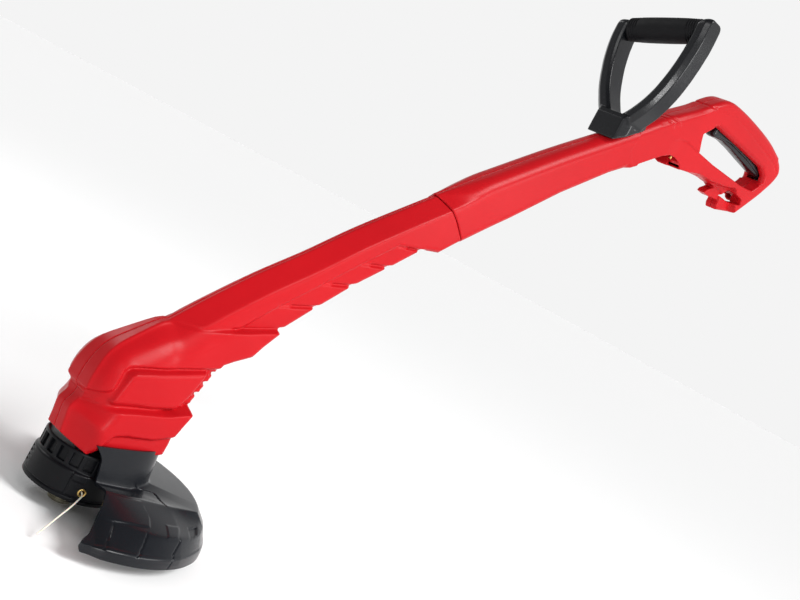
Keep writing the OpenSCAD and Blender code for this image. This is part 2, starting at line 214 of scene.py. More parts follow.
def nylon(name):
    """Slightly translucent line with faint bands along it."""
    n = Nodes(bpy.data.materials.new(name))
    n.feed("Base Color", n.ramp(n.noise(220.0), (0.3, (0.80, 0.76, 0.62)), (0.7, (0.90, 0.88, 0.78))))
    n.feed("Normal", n.bump(n.noise(600.0, 2.0, 0.5, (1, 1, 0.2)), 0.2, 0.0002))
    n.set(Roughness=0.34, Subsurface_Weight=0.25, Subsurface_Scale=0.002)
    return n.owner


# Name, colour, its spread, roughness range, scale and depth of the grain, specular level
PLASTICS = {
    "red": ("red_plastic", (0.45, 0.006, 0.010), 0.05, (0.28, 0.38), 900, 0.05, 0.12),
    "black": ("black_plastic", (0.0035, 0.0038, 0.005), 0.25, (0.26, 0.4), 1300, 0.16, 0.14),
    "guard": ("guard_plastic", (0.006, 0.007, 0.0095), 0.25, (0.2, 0.28), 1100, 0.05, 0.25),
    "frame": ("frame_plastic", (0.005, 0.0055, 0.007), 0.25, (0.17, 0.25), 1500, 0.1, 0.35),
    "rubber": ("grip_rubber", (0.004, 0.004, 0.005), 0.3, (0.48, 0.64), 1700, 0.35, 0.15),
    "grey": ("grey_plastic", (0.09, 0.09, 0.10), 0.15, (0.45, 0.6), 900, 0.2),
    "resin": ("brush_resin", (0.36, 0.22, 0.10), 0.2, (0.5, 0.7), 700, 0.2),
    "carbon": ("carbon_brush", (0.03, 0.03, 0.03), 0.3, (0.5, 0.75), 1200, 0.4),
    "wire": ("wire_sleeve", (0.02, 0.03, 0.09), 0.2, (0.4, 0.55), 500, 0.1),
    "case": ("capacitor_case", (0.72, 0.5, 0.06), 0.1, (0.3, 0.45), 500, 0.1),
}
# Name, colour, roughness range, stretch of the lines, stain colour, scale of the lines
METALS = {
    "steel": ("steel", (0.62, 0.62, 0.63), (0.2, 0.4)),
    "zinc": ("zinc_knob", (0.50, 0.47, 0.37), (0.4, 0.6), (1, 1, 6), (0.22, 0.20, 0.14), 160),
    "brass": ("brass", (0.80, 0.56, 0.20), (0.18, 0.34), (4, 4, 4), (0.55, 0.36, 0.10)),
    "copper": ("enamelled_wire", (0.72, 0.30, 0.12), (0.25, 0.45), (2, 2, 60), None, 300),
    "lamination": ("laminated_steel", (0.36, 0.37, 0.39), (0.35, 0.55), (1, 1, 160), None, 60),
}


def build_materials():
    m = {key: plastic(*row) for key, row in PLASTICS.items()}
    m.update({key: metal(*row) for key, row in METALS.items()})
    m["nylon"] = nylon("nylon_line")
    return m


# ---- mesh tools
def add_mesh(name, points, faces, look, smooth_angle=None):
    """New object from points in millimetres and an (n, 4) or (n, 3) face array, or a list."""
    points = np.asarray(points, np.float32) * MM
    mesh = bpy.data.meshes.new(name)
    if isinstance(faces, np.ndarray):
        k = faces.shape[1]
        mesh.vertices.add(len(points))
        mesh.vertices.foreach_set("co", points.ravel())
        mesh.loops.add(faces.size)
        mesh.loops.foreach_set("vertex_index", faces.astype(np.int32).ravel())
        mesh.polygons.add(len(faces))
        mesh.polygons.foreach_set("loop_start", np.arange(0, faces.size, k, dtype=np.int32))
        mesh.polygons.foreach_set("loop_total", np.full(len(faces), k, np.int32))
    else:
        mesh.from_pydata([tuple(p) for p in points], [], faces)
    mesh.update(calc_edges=True)
    mesh.validate()
    mesh.polygons.foreach_set("use_smooth", np.ones(len(mesh.polygons), bool))
    if smooth_angle is not None:
        mesh.set_sharp_from_angle(angle=math.radians(smooth_angle))
    mesh.materials.append(mats[look])
    return add_object(name, mesh)


def attach(obj, body, slot, *nodes):
    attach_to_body(obj, body)
    if nodes:
        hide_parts(*nodes)


def outward(obj):
    """Turns every loose part of a mesh so that its faces look out."""
    bm = bmesh.new()
    bm.from_mesh(obj.data)
    bmesh.ops.remove_doubles(bm, verts=bm.verts, dist=1e-6)
    bmesh.ops.recalc_face_normals(bm, faces=bm.faces)
    bm.to_mesh(obj.data)
    bm.free()


def add_closed(name, shape, look, smooth_angle, *place):
    """Piece from the (points, faces) of a closed skin, turned outwards and attached."""
    obj = add_mesh(name, *shape, look, smooth_angle)
    outward(obj)
    attach(obj, *place)
    return obj


def surface_net(value, origin, step):
    """Quad skin of the zero level of a sampled field, with its vertices on the level."""
    inside = value < 0
    corners = list(itertools.product((0, 1), repeat=3))
    shape = tuple(n - 1 for n in value.shape)
    count = sum(inside[i:i + shape[0], j:j + shape[1], k:k + shape[2]].astype(np.int8)
                for i, j, k in corners)
    active = (count > 0) & (count < len(corners))
    index = np.full(shape, -1, np.int64)
    cells = np.argwhere(active)
    index[active] = np.arange(len(cells))
    vals = np.stack([value[tuple((cells + c).T)] for c in corners], 1)
    total = np.zeros((len(cells), 3))
    hits = np.zeros(len(cells))
    for a, b in itertools.combinations(range(len(corners)), 2):
        ca, cb = np.array(corners[a]), np.array(corners[b])
        if abs(cb - ca).sum() != 1:
            continue
        cross = (vals[:, a] < 0) != (vals[:, b] < 0)
        t = np.where(cross, vals[:, a] / np.where(cross, vals[:, a] - vals[:, b], 1), 0)
        total += np.where(cross[:, None], ca + t[:, None] * (cb - ca), 0)
        hits += cross
    points = cells + total / hits[:, None]
    faces = []
    for axis in range(3):
        u, v = (axis + 1) % 3, (axis + 2) % 3
        low = [slice(1, -1)] * 3
        low[axis] = slice(0, -1)
        high = list(low)
        high[axis] = slice(1, None)
        first, second = inside[tuple(low)], inside[tuple(high)]
        at = np.argwhere(first != second)
        flip = second[tuple(at.T)]
        at[:, [u, v]] += 1
        quad = []
        for du, dv in ((-1, -1), (0, -1), (0, 0), (-1, 0)):
            c = at.copy()
            c[:, u] += du
            c[:, v] += dv
            quad.append(index[tuple(c.T)])
        quad = np.stack(quad, 1)
        quad[flip] = quad[flip][:, ::-1]
        faces.append(quad)
    for _ in range(2):
        points = settle(points, value)
    return np.asarray(origin) + points * step, np.concatenate(faces)


def settle(points, value):
    """One Newton step of each point onto the zero level, with the field read trilinearly."""
    def read(p):
        p = np.clip(p, 0, np.array(value.shape) - 1.001)
        cell = p.astype(int)
        out = 0
        for corner in itertools.product((0, 1), repeat=3):
            w = np.where(corner, p - cell, 1 - (p - cell))
            out = out + w[:, 0] * w[:, 1] * w[:, 2] * value[tuple((cell + corner).T)]
        return out

    grad = np.stack([read(points + e) - read(points - e) for e in np.eye(3) * 0.5], 1)
    size = (grad ** 2).sum(1)
    move = -(read(points) / np.maximum(size, 1e-4))[:, None] * grad
    return points + np.clip(move, -MAX_MOVE, MAX_MOVE)


def curve_points(points, per=8):
    """Catmull-Rom line through 2-D or 3-D points."""
    p = np.asarray(points, float)
    p = np.vstack([2 * p[0] - p[1], p, 2 * p[-1] - p[-2]])
    out = []
    for i in range(1, len(p) - 2):
        for t in np.arange(per) / per:
            a, b, c, d = p[i - 1:i + 3]
            out.append(0.5 * (2 * b + (c - a) * t + (2 * a - 5 * b + 4 * c - d) * t * t
                              + (3 * b - a - 3 * c + d) * t ** 3))
    return np.array(out + [p[-2]])


def line_distance(x, z, line):
    """Distance to an open line and the length along it of the nearest point."""
    line = np.asarray(line, float)
    best = np.full(x.shape, 1e9)
    along = np.zeros(x.shape)
    run = 0.0
    for (ax, az), (bx, bz) in zip(line[:-1], line[1:]):
        dx, dz = bx - ax, bz - az
        size = math.hypot(dx, dz)
        t = np.clip(((x - ax) * dx + (z - az) * dz) / size ** 2, 0, 1)
        d = np.hypot(x - ax - t * dx, z - az - t * dz)
        near = d < best
        best = np.where(near, d, best)
        along = np.where(near, run + t * size, along)
        run += size
    return best, along


def area_distance(x, z, polygon):
    """Signed distance to a closed outline, negative inside."""
    poly = np.asarray(polygon, float)
    dist, _ = line_distance(x, z, np.vstack([poly, poly[:1]]))
    inside = np.zeros(x.shape, bool)
    for (ax, az), (bx, bz) in zip(poly, np.roll(poly, -1, 0)):
        crosses = (az > z) != (bz > z)
        with np.errstate(divide="ignore", invalid="ignore"):
            inside ^= crosses & (x < (bx - ax) * (z - az) / (bz - az) + ax)
    return np.where(inside, -dist, dist)


def ease(t):
    t = np.clip(t, 0, 1)
    return t * t * (3 - 2 * t)


def within(d, soft):
    """1 inside an outline and 0 outside it, with a soft edge."""
    return 1 - ease(d / soft + 0.5)


def fade(d, start, over):
    """1 up to start, easing down to 0."""
    return 1 - ease((d - start) / over)


def smax(a, b, k):
    h = np.maximum(k - np.abs(a - b), 0) / k
    return np.maximum(a, b) + h * h * k / 4


def smin(a, b, k):
    return -smax(-a, -b, k)


def mix(a, b, t):
    return a + (b - a) * t


def edge_drop(d, r):
    """How far a rounded edge of radius r falls away at distance d inside the edge."""
    d = np.clip(d, 0, r)
    return r - np.sqrt(np.maximum(r * r - (r - d) ** 2, 0))


def shifted(a, axis, reach):
    """A map moved by every whole number of cells up to reach either way, with its edges held."""
    pad = np.pad(a, [(reach, reach) if i == axis else (0, 0) for i in (0, 1)], mode="edge")
    for s in range(2 * reach + 1):
        cut = [slice(None), slice(None)]
        cut[axis] = slice(s, s + a.shape[axis])
        yield pad[tuple(cut)]


def soften(a, reach, passes=2):
    """Map smoothed by repeated averaging over reach cells either way."""
    for axis in (0, 1) * passes:
        a = sum(shifted(a, axis, reach)) / (2 * reach + 1)
    return a


def lowest_nearby(a, reach):
    """Lowest value of a map within reach cells, so that a wall keeps its thickness at grooves."""
    for axis in (0, 1):
        a = np.minimum.reduce(list(shifted(a, axis, reach)))
    return a


def round_and(a, b, r):
    """Both of two fields, meeting in a rounded edge of radius r."""
    a, b = a + r, b + r
    return np.minimum(np.maximum(a, b), 0) + np.hypot(np.maximum(a, 0), np.maximum(b, 0)) - r


def nearest_radius(pairs):
    """Edge radius map taken from the nearest of several (distance, radius) maps."""
    best = np.full(pairs[0][0].shape, 1e9)
    out = np.zeros(best.shape)
    for dist, radius in pairs:
        near = dist < best
        best = np.where(near, dist, best)
        out = np.where(near, radius, out)
    return out


def grid(low, high, step):
    return np.meshgrid(*(np.arange(a, b + step, step) for a, b in zip(low, high)), indexing="ij")


def slab_net(outline, width, low, step, wall=None, cuts=(), stops=(), radius=1.5, gap=0.15):
    """Skin of a solid whose half width is a map over the side view.

    With a wall it is one hollow half, from y = gap outwards, otherwise the whole piece. Cuts are maps or
    (x, y, z) fields that take material away where they are positive, and the hollow keeps out of stops.
    The radius of the long edges may be a map too.
    """
    def lift(side_map):
        return side_map[:, None, :]

    top = float(width[outline < 0].max()) + 3 * step
    ys = np.arange(-1.6 * step if wall else -top - 0.3 * step, top if wall else top + step, step)
    half = (ys if wall else np.abs(ys))[None, :, None]
    gx, gz = np.gradient(width, step)
    slope = lift(1 / np.sqrt(1 + np.clip(gx ** 2 + gz ** 2, 0, 9)))
    edge = lift(np.zeros(width.shape) + radius)
    value = round_and(lift(outline), (half - lift(width)) * slope, edge)
    if wall:
        core = lowest_nearby(width, int(3.0 / step + 0.5))
        hollow = round_and(lift(outline), (half - lift(core)) * slope, edge) + wall
        for stop in stops:
            hollow = np.maximum(hollow, -lift(stop))
        value = np.maximum(np.maximum(value, -hollow), gap - half)
    for c in cuts:
        value = np.maximum(value, c(ys) if callable(c) else lift(c))
    return surface_net(value, (low[0], ys[0], low[1]), step)


# ---- parts of both housings
SCREWS = [(80, 187), (118, 242), (196, 317), (330, 432), (420, 502), (505, 574)]
PIT_RADIUS, PIT_FLOOR_Y, BOSS_RADIUS = 4.2, 13.4, 6.4
# Line between the two lengths of the housing
SEAM_AREA = [
    (238, 420), (247.5, 412), (258, 407.5), (278, 396.5), (296, 383.5), (312, 370), (400, 370), (400, 500),
    (238, 500)]
SEAM_GAP, NO_CUT = 0.25, -50.0


def from_screw(x, z, at, radius):
    return np.hypot(x - at[0], z - at[1]) - radius


def screw_pit(x, z, at):
    """Round pit down to a screw's head, as a field that is positive where material goes."""
    d = from_screw(x, z, at, PIT_RADIUS)
    return lambda ys: -np.maximum(d[:, None, :], PIT_FLOOR_Y - ys[None, :, None])


def box_field(x, z, x0, x1, z0, z1, half_y):
    """Field that is positive inside a box across the middle plane."""
    flat = np.maximum(np.maximum(x0 - x, x - x1), np.maximum(z0 - z, z - z1))
    return lambda ys: -np.maximum(flat[:, None, :], np.abs(ys)[None, :, None] - half_y)


def half_shells(part, low, x, z, maps, screws, cuts, own_cuts=((), ()), stops=()):
    """The two hollow halves of one length of housing. The screws' pits are on the right."""
    outline, width, edges = maps
    for side, name, own in ((-1, "left", own_cuts[0]), (1, "right", own_cuts[1])):
        pits, keep_out = [*cuts, *own], list(stops)
        if side > 0:
            pits += [screw_pit(x, z, p) for p in screws]
            keep_out += [from_screw(x, z, p, BOSS_RADIUS) for p in screws]
        points, faces = slab_net(outline, width, low, CELL, WALL, pits, keep_out, edges)
        points[:, 1] *= side
        faces = faces if side > 0 else faces[:, ::-1]
        obj = add_mesh(part + "_shell_" + name, points, faces, "red")
        attach(obj, "housing", "red_shell", part + "_housing_" + name)


def profile(dist, along, table):
    """Half width across a ridge: straight to the crease, then easing out to the full width."""
    t = np.asarray(table, float)
    ridge, d_crease, crease, d_full, full = (np.interp(along, t[:, 0], t[:, i]) for i in range(1, 6))
    first = ridge + (crease - ridge) * np.clip(dist / d_crease, 0, 1)
    q = np.clip((dist - d_crease) / np.maximum(d_full - d_crease, 0.1), 0, 1)
    return first + (full - crease) * (1 - (1 - q) ** 2)


def above(x, z, line):
    """Height over a line that is a function of x, roughly square to it."""
    line = np.asarray(line, float)
    zz = np.interp(x, line[:, 0], line[:, 1])
    slope = np.gradient(np.interp(x[:, 0], line[:, 0], line[:, 1]), x[1, 0] - x[0, 0])[:, None]
    return (z - zz) / np.sqrt(1 + slope ** 2)


def groove(x, z, line, half, depth):
    return -depth * fade(line_distance(x, z, line)[0], half * 0.35, half * 0.9)


def measures(x, z):
    """Distance to an area and to a line, and groove, for one side view."""
    return [functools.partial(f, x, z) for f in (area_distance, line_distance, groove)]


# ---- lower housing
# Side view of the motor housing and lower shaft.
TOP_LINE = [
    (-40, 50), (-41.5, 66), (-43, 78), (-44.5, 88), (-43.5, 94), (-40, 100.5), (-39, 107.5), (-40.5, 110),
    (-42.8, 113), (-43, 118), (-42, 130), (-38, 145), (-30.5, 157), (-18, 168.5), (4, 186.5), (13, 191.5),
    (18, 195.5), (42, 221), (82, 260.5), (126, 299.5), (170, 341), (220, 384), (262, 419), (272, 427)]
REAR_LINE = [
    (318, 394), (301, 381.5), (277.5, 358.5), (256, 354), (253.5, 352), (227, 324.5), (223, 322),
    (192, 291.5), (188, 288.5), (161, 257.5), (156.5, 254), (132, 224.5), (127, 221), (106, 189), (88, 179),
    (78, 172.5), (74, 160), (71, 150), (67, 138), (63, 123.5), (57.5, 107), (54.5, 97), (56, 76), (57, 50)]
# Along the top line: length, ridge half width, crease distance, crease half width, full distance, half width
BELL_PROFILE = [
    (0, 11, 24, 41, 27, 42), (18, 10, 18, 36, 26, 42), (34, 9, 9, 23, 25, 42), (50, 9, 7, 21, 26, 42)]
COVER_PROFILE = [
    (62, 14, 3.5, 24, 24, 38), (84, 13, 4, 24, 25, 38), (100, 11, 5, 23.5, 28, 37),
    (118, 9, 7, 23, 32, 35), (145, 6, 9.5, 22.5, 34, 33), (165, 4.5, 12, 22, 35, 31),
    (200, 4, 13, 22, 36, 29)]
SHAFT_PROFILE = [
    (165, 3.2, 13, 22.4, 20, 24.4), (260, 3.2, 13, 21.8, 18, 23),
    (430, 3, 13, 20.8, 17, 21.4), (560, 3, 13, 19.8, 17, 20.6)]
# Line of the cover's upper end, where the shaft begins
STEP_LINE = [(11.5, 193.4), (20, 192.2), (28, 194), (74.5, 207.8), (94, 213.2), (125, 222.2), (150, 215)]
COVER_AREA = [
    (-80, 116), (-43, 111), (-37.5, 114.8), (-31, 118.6), (-27.6, 122.3), (-26, 131), (-24.4, 140.6),
    (-19.6, 145.6), (-2, 150.6), (30, 157.2), (66, 166.2), (110, 178), *STEP_LINE[::-1], (4, 210),
    (-80, 210)]
PANEL_AREA = [
    (-25.4, 112.4), (-22.6, 126.4), (-19.4, 140.6), (-14.5, 144.6), (29.5, 155.2), (61.5, 163.4),
    (61.4, 158.5), (53.6, 136.6), (44.6, 121.4), (17.9, 116.4), (-2.9, 114), (-22, 110.4)]
BELL_EDGE = [
    (-70, 84), (-45, 88), (-40, 97.5), (-33, 101), (-18, 105.5), (5, 110.5), (32, 114.5), (44, 118.5),
    (80, 128)]
LEDGE_EDGE = [
    (-70, 96), (-42, 100), (-36, 104), (-27, 106), (-10.5, 109.2), (9.7, 112.4), (40, 117.6), (50, 122),
    (80, 134)]
LIP_LINE = [
    (-21.6, 63.5), (-17.3, 70.3), (-12.6, 77.5), (-8.4, 84), (2.3, 87), (18.7, 88.4), (33.4, 90.2), (44, 94),
    (80, 106)]
BELL_BOTTOM = [
    (-60, 70.5), (-44, 68), (-37, 65.2), (-21, 60), (-16, 67), (-12.6, 72), (5, 72.4), (20.3, 72.6), (39, 74),
    (51.3, 77.2), (70, 80)]
LOUVRE_LINE = [(76.1, 207.8), (109.8, 243.4), (146.9, 279.3), (182.1, 313.4), (217.3, 346.6), (253, 353.4)]
LOUVRE_CUTS = [
    ((74.5, 207.8), (130, 223)), ((109.8, 243.4), (162, 257.5)), ((146.9, 279.2), (194, 291.5)),
    ((182.1, 313.4), (230, 324)), ((217.3, 346.6), (259, 354))]
VENTS = [(73, 161.5), (70, 150.5), (66, 138.5), (61.5, 126)]
LOUVRE_LENGTH = 44.0
NECK_DEPTH, LIP_DEPTH, FRAME_DEPTH = 4.2, 3.8, 2.6     # steps below the cover and the bell


def lower_maps(x, z):
    """Outline distance, half width and edge radius of the lower housing over the side view."""
    area, line, cut = measures(x, z)
    top_curve = curve_points(TOP_LINE, 5)
    outline = area([tuple(p) for p in top_curve] + REAR_LINE)
    dist, along = line(top_curve)
    axis = x * 0.72 + z * 0.69
    bell = soften(profile(dist, along, BELL_PROFILE), 2)
    cover = soften(np.minimum(profile(dist, along, COVER_PROFILE),
                              np.interp(axis, [85, 107, 140, 181, 220], [38.2, 38, 35.5, 31, 27.5])), 2)
    shaft = np.minimum(profile(dist, along, SHAFT_PROFILE),
                       np.interp(axis, [160, 181, 244, 330, 470], [25.2, 24.6, 23, 21.8, 20.4]))
    # shaft louvres: shingles that rise towards their upper end
    in_louvre = within(area(LOUVRE_LINE + [(300, 330), (150, 190), (90, 190)]), 0.9)
    past = [((x - a[0]) * (b[1] - a[1]) - (z - a[1]) * (b[0] - a[0])) / math.dist(a, b)
            for a, b in LOUVRE_CUTS]
    lift = np.full(x.shape, -0.2)
    for here, following in zip(past, past[1:]):
        t = np.clip(-here / LOUVRE_LENGTH, 0, 1)
        lift = np.where((here < 0) & (following >= 0), mix(-2.8, -0.3, t), lift)
    shaft = shaft + in_louvre * lift
    shaft += cut(LOUVRE_LINE[:-1], 0.9, 0.7)
    shaft += cut(LOUVRE_LINE[-2:], 0.9, 0.9)
    for a, b in LOUVRE_CUTS[1:]:
        m = (a[0] * 0.7 + b[0] * 0.3, a[1] * 0.7 + b[1] * 0.3)
        shaft += cut([a, b], 0.8, 0.8) + cut([m, b], 1.1, 3.5)
    # motor cover, whose side panel stands a little proud of the groove round it
    panel = area(PANEL_AREA)
    cover_side = area(COVER_AREA)
    neck = cover - NECK_DEPTH
    in_cover = within(cover_side, 1.2)
    flank = np.interp(axis, [60, 85, 107, 140, 181, 220], [37.6, 37.9, 37.6, 35.2, 30.8, 27.5])
    panel_y = soften(flank, 4) - 0.55 * edge_drop(np.maximum(-panel, 0), 6)
    y = mix(neck, cover, in_cover)
    near_panel = fade(panel, 1.2, 2.0) * (1 - in_cover * ease(-cover_side / 2.0))
    y = mix(y, np.minimum(y, cover - FRAME_DEPTH), near_panel)
    y = mix(y, panel_y, within(panel, 2.2))
    # shaft beyond the cover's step
    step = area(STEP_LINE + [(400, 300), (300, 500), (4, 210)])
    y = mix(y, shaft, within(step, 1.0))
    y += cut(STEP_LINE[:4], 1.0, 0.9)
    y += cut([(70, 206.6), (94, 213.2), (132, 224)], 1.1, 3.6)
    # rear strip with vents behind the panel
    for vx, vz in VENTS:
        d = np.hypot((x - vx + 2) * 0.94 + (z - vz) * 0.34, ((z - vz) * 0.94 - (x - vx + 2) * 0.34) * 2.1)
        y += 1.2 * fade(d, 4, 5.0) - 6.0 * fade(d, 2.2, 2.4)
    # bell, its ledge and the recessed band under the lip
    over_bell = above(x, z, BELL_EDGE)
    over_ledge = above(x, z, LEDGE_EDGE)
    t = np.clip(over_bell / np.maximum(over_bell - over_ledge, 0.5), 0, 1)
    ledge = mix(bell, np.minimum(neck + 0.4, bell - 1.5), t)
    y = mix(ledge, y, ease(over_ledge / 2.0 + 0.5))
    y = mix(bell, y, ease(over_bell / 2.2 + 0.5))
    y = mix(y, bell - LIP_DEPTH, within(area(LIP_LINE + [(80, 40), (-21.6, 40)]), 1.4))
    # rounded rear corners
    rear = line(REAR_LINE)[0]
    radius = np.interp(axis, [55, 80, 100, 165, 230, 460], [13, 10, 4, 4, 6, 6])
    edges = nearest_radius([(dist, 1.5), (rear, radius)])
    return outline, soften(np.maximum(y, 2.0), 1, 1), edges


def lower_housing():
    low, high = (-50, 58), (308, 430)
    x, z = grid(low, high, CELL)
    area = measures(x, z)[0]
    seam = np.where(x > 200, SEAM_GAP - area(SEAM_AREA), NO_CUT)
    half_shells("lower", low, x, z, lower_maps(x, z), SCREWS[:3], [-above(x, z, BELL_BOTTOM), seam])


# ---- upper housing
UPPER_TOP = [
    (225, 391), (253, 414), (290, 444.5), (327, 474), (388, 522), (454, 571), (505, 609), (530, 628),
    (555, 645), (585, 665), (604, 680.5), (622, 693), (638, 698.5), (661, 700.5), (705, 700.2), (760, 696.5),
    (800, 689)]
UPPER_REAR = [(800, 689), (814, 682), (822, 671), (818, 656), (806, 638), (795, 624), (764, 589)]
UPPER_BOTTOM = [
    (731, 580), (727, 585), (727, 591), (716, 597), (700, 603), (672, 601.5), (640, 597), (612, 591.5),
    (594, 587), (556, 588), (551, 581), (541, 572), (531, 566), (517, 559.5), (505, 552), (478, 533.5),
    (415, 482), (358, 429), (294, 373), (260, 343)]
HOOK_FINGER = [(691, 589), (694, 594), (708, 604), (724, 604), (726, 592), (704, 588.5)]
HAND_WINDOW = [
    (609, 642), (613, 634), (621, 621.5), (663, 621), (744, 624), (766, 626.5), (777, 629), (784, 637),
    (789, 646), (786, 653), (770, 660), (700, 661), (632, 661), (624, 657)]
CABLE_WINDOW = [(724, 598), (738, 612), (762, 610), (766, 603), (750, 598)]
BULGE_AREA = [
    (491, 570), (493, 590), (493.5, 602), (497, 609), (504, 617), (512, 624), (500, 720), (900, 720),
    (900, 540), (530, 540)]
STRUT_AREA = [
    (556, 610.3), (562, 614.6), (569.4, 618.6), (585.4, 621.1), (622, 620.6), (700, 620), (745, 624),
    (790, 560), (560, 560)]
UNDER_AREA = [
    (620, 590), (630, 595), (648, 600.6), (675, 602.5), (711, 608.7), (738, 616), (763, 590), (770, 560),
    (600, 560)]
SIDE_CREASE = [
    (524, 618.5), (541, 630), (567, 648.2), (598, 670.5), (608, 677.8), (634, 682.8), (668.5, 685.5),
    (702.8, 684.4), (749, 680.2), (796, 674.5), (808, 668)]
PAD_EDGES = [
    [(526, 629), (533, 627.5), (542, 627), (545, 622)], [(531, 634), (539.4, 633), (548, 634), (556, 631)],
    [(588, 670), (594, 674), (603, 676), (608, 678)]]
LEAD_AREA = [(724, 598), (738, 613), (776, 611), (780, 604), (750, 598)]
INLET_AREA = [
    (515, 550), (517, 563), (552, 588.5), (560, 592), (567, 595.5), (580, 597), (592, 595), (600, 591),
    (606, 575)]
BULGE_HALF, STRUT_DEPTH, UNDER_HALF, FINGER_HALF = 17.5, 1.5, 9.0, 6.2
# x from and to, z from and to, half width
INLET_BOX, TRIGGER_SLOT = (566, 592, 540, 612, 14.5), (636, 812, 646.5, 665.5, 9.0)


def upper_maps(x, z):
    """Outline distance, half width and edge radius of the upper housing over the side view."""
    area, line, cut = measures(x, z)
    top, tail = curve_points(UPPER_TOP, 4), curve_points(UPPER_REAR, 4)
    outer = area([*top[:-1].tolist(), *tail.tolist(), *UPPER_BOTTOM])
    finger = area(HOOK_FINGER)
    window = area(HAND_WINDOW)
    cable = area(CABLE_WINDOW)
    outline = np.maximum(np.minimum(outer, finger), np.maximum(-window, -cable))
    ridge, along = line(top)
    creased = profile(ridge, along, [(0, 3.2, 13, 20.9, 18, 21.6), (60, 3.2, 13, 20.6, 18, 21.2)])
    full = np.interp(along, [0, 80, 200, 400], [20.7, 19.8, 18.8, 17.4])
    rounding = ease((along - 34) / 70)
    in_bulge = within(area(BULGE_AREA), 1.3)
    y = mix(mix(creased, full, rounding), BULGE_HALF, in_bulge)
    # rounded lower edges: soft on the shaft, crisp under the handle, soft again round the grip
    low = line([(764, 589)] + UPPER_BOTTOM[7:])[0]
    rear = line(tail)[0]
    grip_radius = np.interp(x, [500, 560, 600, 640, 760], [12, 9, 8, 8, 9])
    top_radius = mix(mix(1.5, 14, rounding), grip_radius, in_bulge)
    edges = nearest_radius([(ridge, top_radius), (rear, np.interp(z, [590, 640, 670], [3, 8, 11])),
                            (low, np.interp(x, [470, 500, 507], [9, 9, 2.5])),
                            (np.abs(window), np.where((z > 642) & (x > 622), 7.0, 2.2)),
                            (np.abs(cable), 1.2), (np.abs(finger), 1.5)])
    strut = area(STRUT_AREA)
    y = y - STRUT_DEPTH * within(strut, 1.6) * (ease((x - 552) / 30) * ease((700 - x) / 60))
    y = mix(y, np.minimum(y, UNDER_HALF), within(area(UNDER_AREA), 1.4))
    y = mix(y, np.minimum(y, FINGER_HALF), within(finger, 1.0))
    y += cut(SIDE_CREASE, 1.0, 0.75)
    for edge in PAD_EDGES:
        y += cut(edge, 0.9, 0.9)
        outline = outline + 0.8 * fade(line(edge)[0], 0.3, 1.0)
    return outline, soften(np.maximum(y, 1.2), 1, 1), edges


def upper_housing():
    low, high = (232, 366), (826, 702)
    x, z = grid(low, high, CELL)
    area = measures(x, z)[0]
    seam = np.where(x < 330, area(SEAM_AREA) + SEAM_GAP, NO_CUT)
    inlet = np.maximum(np.maximum(561 - x, x - 597), np.maximum(560 - z, z - 620))
    stop = np.minimum(inlet, area(UNDER_AREA) - 2)
    cuts = [seam, box_field(x, z, *INLET_BOX), box_field(x, z, *TRIGGER_SLOT)]
    own = [-area(INLET_AREA)], [-area(LEAD_AREA)]
    half_shells("upper", low, x, z, upper_maps(x, z), SCREWS[3:], cuts, own, [stop])


# ---- guard
# Levels 0 to 6: neck top, neck foot, crease, shoulder, skirt foot, foot lip, rim. The ends, lines and
# areas are (angle in degrees, level).
LEFT_ENDS = [
    (0, -117), (0.35, -104), (1, -99), (2, -103), (3, -108), (3.7, -111.5), (3.85, -114), (5, -114.3),
    (6, -113)]
RIGHT_ENDS = [(0, 63), (1, 62), (2, 60), (3, 61), (4, 62), (4.12, 62.2), (4.3, 63.5), (5, 63.5), (6, 63)]
SKIRT_LINES = [
    [(-100.7, 3.1), (-103, 3.53), (-105.6, 4.1)], [(-85, 3), (-88.6, 3.6), (-91.9, 4.1)],
    [(-67.3, 3.1), (-73.1, 3.78), (-75.4, 6)], [(-34, 3.1), (-36, 4.2), (-36, 6)],
    [(-8, 3), (-8, 4.2)], [(18, 3), (18, 4.2)], [(42, 3), (42, 4.2)]]
HOOD_LINE = [(-50, 0.9), (-44.8, 1.07), (-41.6, 1.23), (-49.2, 1.58), (-56.3, 2.02)]
UPPER_PANEL = [(-130, 2.08), (-76, 2.08), (-78.4, 2.53), (-82, 2.8), (-92, 2.86), (-101.6, 3), (-130, 3.3)]
RAISED_PAD = [(-69.6, 2.65), (-61.2, 2.68), (-68.6, 3), (-74.9, 3.03)]
NOTCH = [(-53.5, 2.72), (-46.5, 2.78), (-51.8, 2.98), (-59.9, 3.08)]
SKIRT_DOWN = [-70, -45, 0, 24, 38, 43, 47]      # way down the skirt at each level
MM_PER_DEGREE = 2.2
RIM_Z, RIM_RADIUS = 12.0, 136.9
NECK_HALF_X, NECK_HALF_Y, NECK_POWER = 61, 43, 3.4
FACETS = [(-50, 9.5), (35, 9.5)]                # flatter corners: middle and half width in degrees
SCREW_TUBE = [(8, 57.4), (8, 72.6), (7.6, 73), (2.4, 73), (1.9, 72.5), (1.9, 58.4), (2.4, 57.4)]
TUBE_X, TUBE_Y = 49, 16.0
LUG_LOW, LUG_HIGH, LUG_ANGLE = (123.5, -7, 15.3), (135, 7, 18), 52


